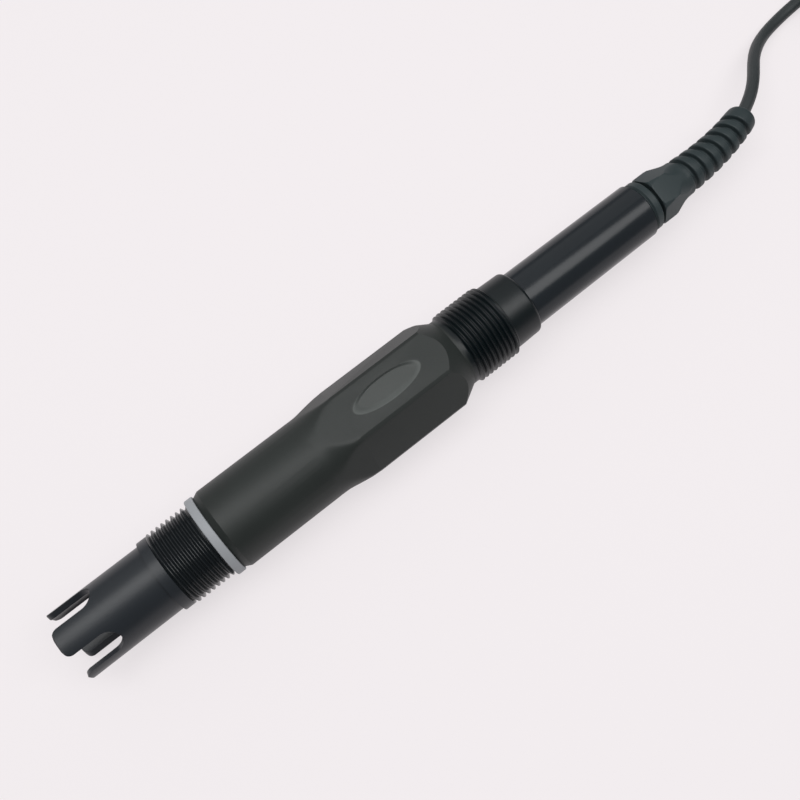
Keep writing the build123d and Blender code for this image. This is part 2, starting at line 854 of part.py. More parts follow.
for name, side in (("left_tie", 1), ("right_tie", -1)):
    tie_y = hank_centre[1] + side * bundle_offset
    with BuildPart() as hank_tie:
        with BuildSketch(
            Plane(
                origin=(tie_x, tie_y, (hank_bottom + hank_top) / 2),
                x_dir=(0, 1, 0),
                z_dir=(1, 0, 0),
            )
        ):
            RectangleRounded(
                bundle_width + 2 * tie_thickness,
                bundle_height + 2 * tie_thickness,
                tie_inner_round + tie_thickness,
            )
            RectangleRounded(
                bundle_width + 2 * glue_gap,
                bundle_height + 2 * glue_gap,
                tie_inner_round,
                mode=Mode.SUBTRACT,
            )
        extrude(amount=tie_width / 2, both=True)
        with BuildSketch(Plane(origin=(tie_x, tie_y, hank_top + tie_thickness / 2))):
            RectangleRounded(tie_head_length, tie_head_width, tie_head_round)
        extrude(amount=tie_head_height)
    hank_tie.part.label = name
    export_step(hank_tie.part, f"parts/{name}.step")

# Shrunk sleeve over the end of the cable
lead_exit_spread = lead_radius + running_gap
sleeve_end_x = sleeve_start_x + sleeve_length
sleeve_plane = Plane(
    origin=(sleeve_start_x, entry.Y, tail_height), x_dir=(1, 0, 0), z_dir=(0, -1, 0)
)
with BuildPart() as end_sleeve:
    with BuildSketch(sleeve_plane):
        with BuildLine():
            Polyline(
                (0, cable_radius + glue_gap),
                (0, sleeve_radius),
                (sleeve_cable_cover, sleeve_radius),
                (sleeve_length * sleeve_shrink_share, sleeve_tip_diameter / 2),
                (sleeve_length, sleeve_tip_diameter / 2),
                (sleeve_length, 0),
                (sleeve_cable_cover, 0),
                (sleeve_cable_cover, cable_radius + glue_gap),
                close=True,
            )
        make_face()
    revolve(axis=Axis((sleeve_start_x, entry.Y, tail_height), (1, 0, 0)))
    with BuildSketch(
        Plane(origin=(cable_end_x, entry.Y, tail_height), x_dir=(0, 1, 0), z_dir=(1, 0, 0))
    ):
        with Locations((lead_exit_spread, 0), (-lead_exit_spread, 0)):
            Circle(lead_radius + glue_gap)
    extrude(amount=sleeve_length, mode=Mode.SUBTRACT)
end_sleeve.part.label = "end_sleeve"
export_step(end_sleeve.part, "parts/end_sleeve.step")

# The two stripped leads, each with a crimped pin and the pin's insulating sleeve
pin_sleeve_radius = pin_sleeve_diameter / 2
pin_barrel_radius = pin_barrel_diameter / 2
pin_height = hank_top + pin_sleeve_radius + glue_gap
pin_start_x = sleeve_end_x + tail_lead_length
pin_sleeve_overlap = pin_sleeve_length - pin_barrel_length

for name, side in (("signal", 1), ("screen", -1)):
    lead_y = entry.Y + side * lead_exit_spread
    pin_y = entry.Y + side * tail_lead_spread
    pin_plane = Plane(
        origin=(pin_start_x, pin_y, pin_height), x_dir=(1, 0, 0), z_dir=(0, -1, 0)
    )
    pin_axis = Axis((pin_start_x, pin_y, pin_height), (1, 0, 0))

    with BuildPart() as tail_lead:
        with BuildLine() as tail_lead_path:
            FilletPolyline(
                (cable_end_x, lead_y, tail_height),
                (sleeve_end_x + tail_lead_bend_radius / 2, lead_y, tail_height),
                (pin_start_x - tail_lead_bend_radius / 2, pin_y, pin_height),
                (pin_start_x + pin_barrel_length / 2, pin_y, pin_height),
                radius=tail_lead_bend_radius,
            )
        with BuildSketch(
            Plane(origin=(cable_end_x, lead_y, tail_height), x_dir=(0, 1, 0), z_dir=(1, 0, 0))
        ):
            Circle(lead_radius)
        sweep(path=tail_lead_path.wires()[0])
    tail_lead.part.label = f"{name}_tail"
    export_step(tail_lead.part, f"parts/{name}_tail.step")

    with BuildPart() as crimp_pin:
        with BuildSketch(pin_plane):
            with BuildLine():
                Polyline(
                    (0, lead_radius + glue_gap),
                    (0, pin_barrel_radius),
                    (pin_barrel_length, pin_barrel_radius),
                    (pin_barrel_length, pin_diameter / 2),
                    (pin_barrel_length + pin_length - pin_diameter / 2, pin_diameter / 2),
                    (pin_barrel_length + pin_length, pin_tip_diameter / 2),
                    (pin_barrel_length + pin_length, 0),
                    (pin_barrel_length / 2, 0),
                    (pin_barrel_length / 2, lead_radius + glue_gap),
                    close=True,
                )
            make_face()
        revolve(axis=pin_axis)
    crimp_pin.part.label = f"{name}_pin"
    export_step(crimp_pin.part, f"parts/{name}_pin.step")

    with BuildPart() as pin_sleeve:
        with BuildSketch(pin_plane):
            with BuildLine():
                Polyline(
                    (-pin_sleeve_overlap, pin_barrel_radius + glue_gap),
                    (-pin_sleeve_overlap, pin_sleeve_radius),
                    (pin_barrel_length / 2, pin_sleeve_radius),
                    (pin_barrel_length, pin_barrel_radius + pin_sleeve_lip),
                    (pin_barrel_length, pin_barrel_radius + glue_gap),
                    close=True,
                )
            make_face()
        revolve(axis=pin_axis)
    pin_sleeve.part.label = f"{name}_pin_sleeve"
    export_step(pin_sleeve.part, f"parts/{name}_pin_sleeve.step")
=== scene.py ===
from math import atan2, cos, hypot, pi, radians, sin

import bmesh
import bpy
from mathutils import Matrix, Vector


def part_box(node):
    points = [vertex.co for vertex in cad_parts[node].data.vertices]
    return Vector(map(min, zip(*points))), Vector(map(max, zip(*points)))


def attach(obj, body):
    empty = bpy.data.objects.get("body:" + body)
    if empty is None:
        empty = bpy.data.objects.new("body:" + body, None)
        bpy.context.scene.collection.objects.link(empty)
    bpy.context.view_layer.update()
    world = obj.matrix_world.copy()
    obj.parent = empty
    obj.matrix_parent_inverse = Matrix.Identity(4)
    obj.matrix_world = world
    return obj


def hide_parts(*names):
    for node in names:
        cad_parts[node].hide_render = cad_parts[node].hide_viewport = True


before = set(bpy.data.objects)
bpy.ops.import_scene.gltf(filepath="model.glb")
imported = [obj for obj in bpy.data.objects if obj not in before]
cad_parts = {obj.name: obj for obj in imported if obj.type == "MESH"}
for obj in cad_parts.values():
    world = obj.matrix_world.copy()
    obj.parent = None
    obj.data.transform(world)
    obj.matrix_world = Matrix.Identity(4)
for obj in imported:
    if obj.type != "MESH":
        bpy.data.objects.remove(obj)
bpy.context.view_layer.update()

# Front shell: the guard with its four prongs, the plain lead-in and the lower pipe thread, which is
# darker and smoother. It is turned and milled from one rod of dark semi-gloss plastic, and its
# spigot is glued into the grip.
mm = 0.001
shell_low, shell_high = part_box("front_shell")
tip_x = shell_low.x
axis_height = (shell_low.z + shell_high.z) / 2
axis_direction = Vector((1, 0, 0))

lower_thread_start = 37.1 * mm
lower_thread_end = 52.4 * mm
lead_in_radius = 12.75 * mm
thread_crest_radius = 13.22 * mm
thread_root_radius = 12.06 * mm
thread_pitch = 1.814 * mm
thread_edge_radius = 0.249 * mm
thread_edge_turn = radians(62.5)
thread_chamfer = 0.9 * mm
thread_run_in = 0.5 * mm
thread_gap = 0.05 * mm
thread_turn_steps = 120
sharp_turn = radians(16)
merge_distance = 0.002 * mm
near = 0.01 * mm


def on_axis(station):
    """The point of the electrode's axis at a station counted from the guard's tips."""
    return Vector((tip_x + station, 0, axis_height))


def station_of(vert):
    """The station that a vertex lies at."""
    return vert.co.x - tip_x


def spoke_to(vert):
    """The line from the axis square out to a vertex."""
    return vert.co - on_axis(station_of(vert))


def copy_of_node(node):
    """A copy of a solid's surface, with its loose triangles merged."""
    bm = bmesh.new()
    bm.from_mesh(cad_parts[node].data)
    bmesh.ops.remove_doubles(bm, verts=bm.verts, dist=merge_distance)
    return bm


def mesh_piece(bm, name, nodes, material):
    """Makes a bmesh a piece on the root body, smooth but for its sharp edges."""
    bmesh.ops.recalc_face_normals(bm, faces=bm.faces)
    for face in bm.faces:
        face.smooth = True
    for edge in bm.edges:
        edge.smooth = len(edge.link_faces) != 2 or edge.calc_face_angle() < sharp_turn
    mesh = bpy.data.meshes.new(name)
    bm.to_mesh(mesh)
    bm.free()
    piece = bpy.data.objects.new(name, mesh)
    bpy.context.scene.collection.objects.link(piece)
    mesh.materials.append(material)
    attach(piece, "root")
    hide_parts(*nodes)
    return piece


def thread_outline():
    """One pitch of the rounded 55 degree thread, from root to root, as places and radii."""
    turns = [thread_edge_turn * share for share in (-1, -0.5, 0, 0.5, 1)]
    root_centre = thread_root_radius + thread_edge_radius
    crest_centre = thread_crest_radius - thread_edge_radius
    root = [
        (thread_edge_radius * sin(turn), root_centre - thread_edge_radius * cos(turn))
        for turn in turns
    ]
    crest = [
        (
            thread_pitch / 2 + thread_edge_radius * sin(turn),
            crest_centre + thread_edge_radius * cos(turn),
        )
        for turn in turns
    ]
    next_root = [(thread_pitch + place, radius) for place, radius in root]
    return root[2:] + crest + next_root[:3]


def wound_surface(outline, pitch, start, end, turn_steps):
    """A surface wound about the axis from the outline of one pitch, cut off at two stations."""
    wound = bmesh.new()
    verts = [
        wound.verts.new(on_axis(start - pitch * 2 + place) + Vector((0, 0, radius)))
        for place, radius in outline
    ]
    edges = [wound.edges.new(pair) for pair in zip(verts, verts[1:])]
    bmesh.ops.spin(
        wound,
        geom=verts + edges,
        cent=on_axis(start),
        axis=axis_direction,
        dvec=axis_direction * pitch / turn_steps,
        angle=2 * pi,
        steps=turn_steps,
    )
    one_turn = wound.verts[:] + wound.edges[:] + wound.faces[:]
    for turn in range(1, int((end - start) / pitch) + 3):
        copied = bmesh.ops.duplicate(wound, geom=one_turn)["geom"]
        bmesh.ops.translate(
            wound,
            verts=[part for part in copied if isinstance(part, bmesh.types.BMVert)],
            vec=axis_direction * pitch * turn,
        )
    bmesh.ops.remove_doubles(wound, verts=wound.verts, dist=merge_distance)
    for station, side in ((start, -1), (end, 1)):
        bmesh.ops.bisect_plane(
            wound,
            geom=wound.verts[:] + wound.edges[:] + wound.faces[:],
            dist=merge_distance / 10,
            plane_co=on_axis(station),
            plane_no=axis_direction * side,
            clear_outer=True,
        )
    return wound


def reshape(verts, radius_at):
    """Moves vertices in or out to the radius that a function of station, turn and radius gives."""
    for vert in verts:
        station = station_of(vert)
        spoke = spoke_to(vert)
        radius = radius_at(station, atan2(spoke.z, spoke.y), spoke.length)
        vert.co = on_axis(station) + spoke.normalized() * radius


def cut_away(bm, start, end, least_radius, margin):
    """Deletes the faces between two stations that lie farther from the axis than a radius."""
    wall = [
        face
        for face in bm.faces
        if all(
            start - margin < station_of(vert) < end + margin
            and spoke_to(vert).length > least_radius
            for vert in face.verts
        )
    ]
    bmesh.ops.delete(bm, geom=wall, context="FACES")


def add_surface(bm, surface):
    """Joins a second surface to a mesh under work."""
    joined = bpy.data.meshes.new("joined")
    surface.to_mesh(joined)
    surface.free()
    bm.from_mesh(joined)
    bpy.data.meshes.remove(joined)


def close_ring(bm, station, reach, least_radius, most_radius):
    """Bridges the two open rings that face each other at a station, between two radii."""
    ring = [
        edge
        for edge in bm.edges
        if edge.is_boundary
        and all(
            abs(station_of(vert) - station) < reach
            and least_radius < spoke_to(vert).length < most_radius
            for vert in edge.verts
        )
    ]
    bmesh.ops.bridge_loops(bm, edges=ring)


def cut_thread(bm, start, end, start_radius, end_radius):
    """Replaces the plain wall between two stations with a helical thread, chamfered at both ends."""

    def thread_radius(station, turn, radius):
        from_start, from_end = station - start, end - station
        highest = min(
            start_radius + (thread_crest_radius - start_radius) * from_start / thread_chamfer,
            end_radius + (thread_crest_radius - end_radius) * from_end / thread_chamfer,
        )
        lowest = max(
            start_radius
            + (thread_root_radius - start_radius) * min(from_start / thread_run_in, 1),
            end_radius + (thread_root_radius - end_radius) * min(from_end / thread_run_in, 1),
        )
        return min(max(radius, lowest), highest)

    cut_away(bm, start, end, end_radius - thread_gap, thread_gap)
    thread = wound_surface(
        thread_outline(), thread_pitch, start + thread_gap, end - thread_gap, thread_turn_steps
    )
    reshape(thread.verts, thread_radius)
    add_surface(bm, thread)
    for station in (start, end):
        close_ring(bm, station, thread_gap * 2, end_radius / 2, thread_crest_radius * 2)


def skin_group():
    """The look that most materials share: cloudy colour, uneven gloss and fine grain."""
    group = bpy.data.node_groups.new("plastic_skin", "ShaderNodeTree")
    for name, kind, default in (
        ("Colour", "NodeSocketColor", (0.05, 0.05, 0.05, 1)),
        ("Cloud size", "NodeSocketFloat", 60.0),
        ("Cloud depth", "NodeSocketFloat", 0.15),
        ("Grain size", "NodeSocketFloat", 3000.0),
        ("Gloss low", "NodeSocketFloat", 0.35),
        ("Gloss high", "NodeSocketFloat", 0.45),
    ):
        socket = group.interface.new_socket(name=name, in_out="INPUT", socket_type=kind)
        socket.default_value = default
    for name, kind in (
        ("Colour", "NodeSocketColor"),
        ("Roughness", "NodeSocketFloat"),
        ("Height", "NodeSocketFloat"),
    ):
        group.interface.new_socket(name=name, in_out="OUTPUT", socket_type=kind)
    nodes, links = group.nodes, group.links
    given = nodes.new("NodeGroupInput")
    result = nodes.new("NodeGroupOutput")
    place = nodes.new("ShaderNodeTexCoord")
    cloud = nodes.new("ShaderNodeTexNoise")
    cloud.inputs["Detail"].default_value = 4
    grain = nodes.new("ShaderNodeTexNoise")
    grain.inputs["Detail"].default_value = 2
    shade = nodes.new("ShaderNodeMapRange")
    shade.inputs["To Min"].default_value = 1
    darker = nodes.new("ShaderNodeMath")
    darker.operation = "SUBTRACT"
    darker.inputs[0].default_value = 1
    tint = nodes.new("ShaderNodeVectorMath")
    tint.operation = "SCALE"
    gloss = nodes.new("ShaderNodeMapRange")
    links.new(place.outputs["Object"], cloud.inputs["Vector"])
    links.new(place.outputs["Object"], grain.inputs["Vector"])
    links.new(given.outputs["Cloud size"], cloud.inputs["Scale"])
    links.new(given.outputs["Grain size"], grain.inputs["Scale"])
    links.new(given.outputs["Cloud depth"], darker.inputs[1])
    links.new(cloud.outputs["Fac"], shade.inputs["Value"])
    links.new(darker.outputs["Value"], shade.inputs["To Max"])
    links.new(given.outputs["Colour"], tint.inputs[0])
    links.new(shade.outputs["Result"], tint.inputs["Scale"])
    links.new(grain.outputs["Fac"], gloss.inputs["Value"])
    links.new(given.outputs["Gloss low"], gloss.inputs["To Min"])
    links.new(given.outputs["Gloss high"], gloss.inputs["To Max"])
    links.new(tint.outputs["Vector"], result.inputs["Colour"])
    links.new(gloss.outputs["Result"], result.inputs["Roughness"])
    links.new(grain.outputs["Fac"], result.inputs["Height"])
    return group


plastic_skin = skin_group()


def skin_material(
    name, colour, gloss, grain_depth, grain_size=3000.0, cloud_depth=0.15, shine=0.5
):
    """A material with the shared skin. Its gloss is a range of roughness."""
    material = bpy.data.materials.new(name)
    material.use_nodes = True
    nodes, links = material.node_tree.nodes, material.node_tree.links
    shader = nodes["Principled BSDF"]
    skin = nodes.new("ShaderNodeGroup")
    skin.node_tree = plastic_skin
    skin.inputs["Colour"].default_value = (*colour, 1)
    skin.inputs["Cloud depth"].default_value = cloud_depth
    skin.inputs["Grain size"].default_value = grain_size
    skin.inputs["Gloss low"].default_value = gloss[0]
    skin.inputs["Gloss high"].default_value = gloss[1]
    shader.inputs["Specular IOR Level"].default_value = shine
    bump = nodes.new("ShaderNodeBump")
    bump.inputs["Distance"].default_value = grain_depth
    links.new(skin.outputs["Height"], bump.inputs["Height"])
    links.new(skin.outputs["Colour"], shader.inputs["Base Color"])
    links.new(skin.outputs["Roughness"], shader.inputs["Roughness"])
    links.new(bump.outputs["Normal"], shader.inputs["Normal"])
    return material


def field(material, centre, half, edge, changes):
    """Gives the skin other values inside an ellipsoid, with a soft edge as a share of its size."""
    nodes, links = material.node_tree.nodes, material.node_tree.links
    skin = next(node for node in nodes if node.type == "GROUP")
    place = nodes.new("ShaderNodeTexCoord")
    away = nodes.new("ShaderNodeVectorMath")
    away.operation = "SUBTRACT"
    away.inputs[1].default_value = centre
    scaled = nodes.new("ShaderNodeVectorMath")
    scaled.operation = "DIVIDE"
    scaled.inputs[1].default_value = half
    reach = nodes.new("ShaderNodeVectorMath")
    reach.operation = "LENGTH"
    mask = nodes.new("ShaderNodeMapRange")
    mask.interpolation_type = "SMOOTHSTEP"
    mask.inputs["From Min"].default_value = 1 + edge
    mask.inputs["From Max"].default_value = 1 - edge
    links.new(place.outputs["Object"], away.inputs[0])
    links.new(away.outputs["Vector"], scaled.inputs[0])
    links.new(scaled.outputs["Vector"], reach.inputs[0])
    links.new(reach.outputs["Value"], mask.inputs["Value"])
    for name, value in changes.items():
        socket = skin.inputs[name]
        blend = nodes.new("ShaderNodeMix")
        blend.data_type = "RGBA" if socket.type == "RGBA" else "FLOAT"
        outside, inside = [
            item for item in blend.inputs if item.type == socket.type and item.name in ("A", "B")
        ]
        result = next(item for item in blend.outputs if item.type == socket.type)
        if socket.is_linked:
            links.new(socket.links[0].from_socket, outside)
        else:
            outside.default_value = socket.default_value
        inside.default_value = value
        links.new(mask.outputs["Result"], blend.inputs["Factor"])
        links.new(result, socket)


shell_plastic = skin_material(
    "shell_plastic", (0.017, 0.021, 0.026), gloss=(0.3, 0.42), grain_depth=0.01 * mm, shine=0.36
)
field(
    shell_plastic,
    centre=on_axis((lower_thread_start + lower_thread_end) / 2),
    half=Vector(((lower_thread_end - lower_thread_start) / 2, 1, 1)),
    edge=0.02,
    changes={"Colour": (0.011, 0.014, 0.016, 1), "Gloss low": 0.18, "Gloss high": 0.28},
)
shell = copy_of_node("front_shell")
cut_thread(shell, lower_thread_start, lower_thread_end, lead_in_radius, thread_root_radius)
mesh_piece(shell, "guard_shell", ["front_shell"], shell_plastic)

# Flat gasket: a ring of light grey rubber with softened edges. It is slipped over the lower thread
# into the undercut in front of the grip, and seals the electrode in its fitting.
gasket_rubber = skin_material(
    "gasket_rubber", (0.335, 0.352, 0.372), gloss=(0.5, 0.65), grain_depth=0.01 * mm
)
gasket_edge = 0.4 * mm
gasket = copy_of_node("gasket")
gasket_low, gasket_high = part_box("gasket")
gasket_radius = (gasket_high.y - gasket_low.y) / 2
rim = [
    edge
    for edge in gasket.edges
    if all(spoke_to(vert).length > gasket_radius - near for vert in edge.verts)
    and abs(edge.verts[0].co.x - edge.verts[1].co.x) < merge_distance
]
bmesh.ops.bevel(
    gasket,
    geom=rim,
    offset=gasket_edge,
    offset_type="OFFSET",
    segments=4,
    profile=0.5,
    affect="EDGES",
    material=-1,
)
mesh_piece(gasket, "gasket_ring", ["gasket"], gasket_rubber)

# Grip body: grip, hexagon with its blank oval recess, neck, upper pipe thread and collar, moulded
# as one piece of dark plastic with a fine matt grain. The recess is painted paler as light: its
# floor is lifted to make up for the shade of its walls and its weaker reflection, and a lighter
# band along its -Y side and ends is a painted highlight. The collar and the thread are darker and
# smoother. It is glued to the front shell and to the tail tube.
upper_thread_start = 150.6 * mm
upper_thread_end = 168.0 * mm
neck_radius = 12.25 * mm
collar_radius = 11.95 * mm
smooth_end_centre = 165.0 * mm
smooth_end_half = 15.6 * mm
grip_radius = 14.35 * mm
grip_wall_radius = 13.92 * mm
flat_radius = 14.4 * mm
flat_half_turn = pi / 6
grip_flat_turn = pi / 2
corner_radius = 16.25 * mm
hexagon_front = 96.0 * mm
hexagon_full = 104.2 * mm
soft_start = 92.0 * mm
soft_end = 107.0 * mm
soft_blend = 0.35 * mm
soft_fade = 1.75 * mm
soft_gap = 0.3 * mm
soft_steps = 50
soft_turn_steps = 216


def turned_surface(places, turn_steps):
    """A full turn about the axis of an outline, given as pairs of station and radius."""
    turned = bmesh.new()
    verts = [
        turned.verts.new(on_axis(station) + Vector((0, 0, radius))) for station, radius in places
    ]
    edges = [turned.edges.new(pair) for pair in zip(verts, verts[1:])]
    bmesh.ops.spin(
        turned,
        geom=verts + edges,
        cent=on_axis(0),
        axis=axis_direction,
        angle=2 * pi,
        steps=turn_steps,
        use_merge=True,
    )
    return turned


def from_flat(turn, flat_turn):
    """The turn from the middle of the nearest of six flats, one of which lies at flat_turn."""
    return (turn - flat_turn + flat_half_turn) % (flat_half_turn * 2) - flat_half_turn


def blended(first, second, side):
    """The greater (side 1) or the lesser (side -1) of two radii, rounded where they cross."""
    return (first + second + side * hypot(first - second, soft_blend)) / 2


def hexagon_radius(station, turn, radius):
    """The grip's outer radius where the cylinder widens into the hexagon, without a hard border."""
    flat = min(flat_radius / cos(from_flat(turn, grip_flat_turn)), corner_radius)
    slope = (corner_radius - grip_radius) / (hexagon_full - hexagon_front)
    cone = blended(grip_radius + slope * (station - hexagon_front), grip_radius, 1)
    crisp = min(cone, flat) if station > hexagon_front else grip_radius
    fade = min((station - soft_start) / soft_fade, (soft_end - station) / soft_fade, 1)
    return crisp + (blended(cone, flat, -1) - crisp) * fade


def soften_hexagon(bm):
    """Replaces the outer wall where the hexagon begins with the softly shaped one."""
    for station in (soft_start, soft_end):
        bmesh.ops.bisect_plane(
            bm,
            geom=bm.verts[:] + bm.edges[:] + bm.faces[:],
            dist=merge_distance,
            plane_co=on_axis(station),
            plane_no=axis_direction,
        )
    cut_away(bm, soft_start, soft_end, grip_wall_radius, near)
    length = soft_end - soft_start - soft_gap * 2
    places = [
        (soft_start + soft_gap + length * step / soft_steps, corner_radius)
        for step in range(soft_steps + 1)
    ]
    soft = turned_surface(places, soft_turn_steps)
    reshape(soft.verts, hexagon_radius)
    add_surface(bm, soft)
    for station in (soft_start, soft_end):
        close_ring(bm, station, soft_gap + near, grip_wall_radius, corner_radius * 2)


recess_centre = on_axis(122.9 * mm) + Vector((0, 0, flat_radius))
recess_half = Vector((13.0, 4.4)) * mm
recess_depth = 0.6 * mm
recess_tilt = 0.05
steep_wall = 0.1
long_wall = 0.4
oval_limit = 1.01
first_ring_share = 0.994
ring_step = 0.025
ring_count = 24
last_ring_share = 0.25
recess_rings = [first_ring_share]
recess_rings += [1 - ring_step * step for step in range(1, ring_count + 1)]
recess_rings.append(last_ring_share)


def eased(share):
    """A share between 0 and 1 that starts and stops softly."""
    share = min(max(share, 0), 1)
    return share * share * (3 - 2 * share)


def in_recess(part):
    """Whether a face or an edge lies in the oval recess."""
    return all(
        hypot(place.x / recess_half.x, place.y / recess_half.y) < oval_limit
        and place.z > -recess_depth * 2
        for place in (vert.co - recess_centre for vert in part.verts)
    )


def carve_recess(bm):
    """Reshapes the oval recess: a steep wall on its +Y side and a long soft one on its -Y side."""
    inside = [face for face in bm.faces if in_recess(face)]
    bmesh.ops.delete(bm, geom=inside, context="FACES")
    ring = [edge for edge in bm.edges if edge.is_boundary and in_recess(edge)]
    last_share = 1
    for share in recess_rings:
        drawn = bmesh.ops.extrude_edge_only(bm, edges=ring)["geom"]
        ring = [
            part for part in drawn if isinstance(part, bmesh.types.BMEdge) and part.is_boundary
        ]
        for vert in {vert for edge in ring for vert in edge.verts}:
            across = (vert.co - recess_centre) * share / last_share
            side = across.y / recess_half.y / share
            wall = long_wall + (steep_wall - long_wall) * (1 + side) / 2
            depth = (recess_depth + across.y * recess_tilt) * eased((1 - share) / wall)
            vert.co = recess_centre + Vector((across.x, across.y, -depth))
        last_share = share
    bmesh.ops.edgeloop_fill(bm, edges=ring)


grip_plastic = skin_material(
    "grip_plastic",
    (0.018, 0.0227, 0.0211),
    gloss=(0.42, 0.57),
    grain_depth=0.02 * mm,
    cloud_depth=0.35,
    shine=0.38,
)
# Painted light: the whole recess is painted much paler than the grip. Where the next field leaves
# it, along the -Y side and the ends, this paler colour is a painted highlight on the soft wall.
field(
    grip_plastic,
    centre=recess_centre,
    half=Vector((12.9, 4.3, 3.0)) * mm,
    edge=0.03,
    changes={"Colour": (0.1, 0.11, 0.106, 1), "Gloss low": 0.45, "Gloss high": 0.6},
)
# Painted light: the recess floor is painted paler to make up for the shade of its walls and its
# weaker reflection.
field(
    grip_plastic,
    centre=recess_centre + Vector((0.1, 0.7, 0)) * mm,
    half=Vector((11.9, 3.4, 3.0)) * mm,
    edge=0.16,
    changes={"Colour": (0.066, 0.073, 0.07, 1)},
)
field(
    grip_plastic,
    centre=on_axis(smooth_end_centre),
    half=Vector((smooth_end_half, 1, 1)),
    edge=0.03,
    changes={"Colour": (0.0015, 0.0055, 0.0072, 1), "Gloss low": 0.32, "Gloss high": 0.42},
)
grip = copy_of_node("grip_body")
carve_recess(grip)
soften_hexagon(grip)
cut_thread(grip, upper_thread_start, upper_thread_end, neck_radius, collar_radius)
mesh_piece(grip, "threaded_grip", ["grip_body"], grip_plastic)


# Seals of black rubber: two rings on the spigot, one on the glass stem, the stem's stopper and the
# seal that the gland presses on the cable.
def dress(material, *nodes):
    """Gives solids that keep their own shape their material."""
    for node in nodes:
        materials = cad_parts[node].data.materials
        materials.clear()
        materials.append(material)


seal_rubber = skin_material(
    "seal_rubber", (0.02, 0.02, 0.02), gloss=(0.4, 0.5), grain_depth=0.005 * mm
)
dress(seal_rubber, "front_oring", "rear_oring", "stem_oring", "stem_stopper", "gland_seal")

# Glass electrode: a thin clear bulb blown on the end of its stem tube. It stands in the guard,
# held by the junction ring and the ring of rubber behind it.
bulb_glass = bpy.data.materials.new("bulb_glass")
bulb_glass.use_nodes = True
glass_shader = bulb_glass.node_tree.nodes["Principled BSDF"]
glass_shader.inputs["Transmission Weight"].default_value = 1
glass_shader.inputs["Roughness"].default_value = 0.03
glass_shader.inputs["IOR"].default_value = 1.5
glass_shader.inputs["Base Color"].default_value = (0.9, 0.95, 0.95, 1)
bulb = copy_of_node("glass_bulb")
mesh_piece(bulb, "bulb_and_stem", ["glass_bulb"], bulb_glass)

# Porous junction ring of sintered white plastic, fitted round the stem behind the bulb, and the
# grey plastic plug that closes the reference chamber.
porous_ring = skin_material(
    "porous_ring",
    (0.8, 0.8, 0.77),
    gloss=(0.75, 0.9),
    grain_depth=0.05 * mm,
    grain_size=1500.0,
)
dress(porous_ring, "junction_ring")
plug_plastic = skin_material(
    "plug_plastic", (0.2, 0.2, 0.2), gloss=(0.4, 0.5), grain_depth=0.01 * mm
)
dress(plug_plastic, "chamber_plug")

# Silver wires, drawn: one inside the glass, and the reference wire in the chamber round it. They
# end at the leads.
silver = skin_material("silver", (0.75, 0.75, 0.73), gloss=(0.25, 0.35), grain_depth=0.005 * mm)
silver.node_tree.nodes["Principled BSDF"].inputs["Metallic"].default_value = 1
dress(silver, "silver_wire", "reference_wire")

# Leads with white or black plastic insulation: two inside the body, from the wires to the cable,
# and the two stripped ones at the cable's far end.
white_insulation = skin_material(
    "white_insulation", (0.75, 0.75, 0.73), gloss=(0.35, 0.45), grain_depth=0.005 * mm
)
black_insulation = skin_material(
    "black_insulation", (0.03, 0.03, 0.03), gloss=(0.35, 0.45), grain_depth=0.005 * mm
)
dress(white_insulation, "signal_lead", "signal_tail")
dress(black_insulation, "reference_lead", "screen_tail")

# Potting: black resin, cast in the tail tube round the leads. It holds the end of the cable.
# Nothing of it shows from outside.
potting_resin = skin_material(
    "potting_resin", (0.03, 0.03, 0.03), gloss=(0.15, 0.25), grain_depth=0.005 * mm
)
dress(potting_resin, "rear_potting")

# Tail tube: a glossy extruded tube of black plastic, glued into the grip's collar. Its rear end is
# bored and tapped for the cable gland.
tail_plastic = skin_material(
    "tail_plastic", (0.015, 0.019, 0.023), gloss=(0.16, 0.26), grain_depth=0.003 * mm, shine=0.28
)
dress(tail_plastic, "tail_tube")

# Cable gland of satin nylon, moulded: the body with its flange is screwed into the tail tube on a
# washer, and its cup holds the seal and the slotted clamping claw.
gland_nylon = skin_material(
    "gland_nylon", (0.025, 0.037, 0.04), gloss=(0.43, 0.56), grain_depth=0.008 * mm, shine=0.35
)
dress(gland_nylon, "gland_washer", "gland_body", "gland_claw")

# Gland nut of the same nylon, moulded in one piece with its boot. The hexagon's flats run out into
# the round flare, and a helical groove runs round the boot from the flare to the plain tip, so
# that it bends with the cable.
nut_start = 235.9 * mm
nut_hex_end = 242.3 * mm
nut_turn = radians(105)
nut_flat_radius = 8.35 * mm
nut_flat_end_radius = 6.7 * mm
nut_flat_taper = 1.5
nut_flat_fade = 1.2 * mm
nut_corner_radius = 9.2 * mm
nut_flare_sag = 0.55 * mm
nut_front_chamfer = 0.5 * mm
nut_socket_radius = 6.7 * mm
nut_socket_end = 244.2 * mm
nut_wall_steps = 64
claw_seat_end = 248.4 * mm
claw_seat_radius = 4.15 * mm
boot_cut = 248.6 * mm
boot_cut_gap = 0.05 * mm
boot_start = 249.8 * mm
boot_length = 35.5 * mm
boot_straight_length = 6.0 * mm
boot_bend_start = boot_start + boot_straight_length
boot_bend_radius = (boot_length - boot_straight_length) / radians(16.3)
boot_start_radius = 6.95 * mm
boot_end_radius = 5.35 * mm
boot_bore_radius = 3.0 * mm
boot_tip_round = 2.3 * mm
boot_tip_steps = 8
boot_turn_steps = 144
groove_pitch = 4.5 * mm
groove_depth = 1.6 * mm
groove_start = 249.5 * mm
groove_end = 281.3 * mm
groove_run_out = 1.2 * mm
groove_turn = radians(-40)
half_groove = [
    (0 * mm, 0),
    (0.8 * mm, 0),
    (1.05 * mm, 0.05),
    (1.22 * mm, 0.2),
    (1.34 * mm, 0.55),
    (1.46 * mm, 0.9),
    (1.65 * mm, 1.0),
    (2.25 * mm, 1.0),
]


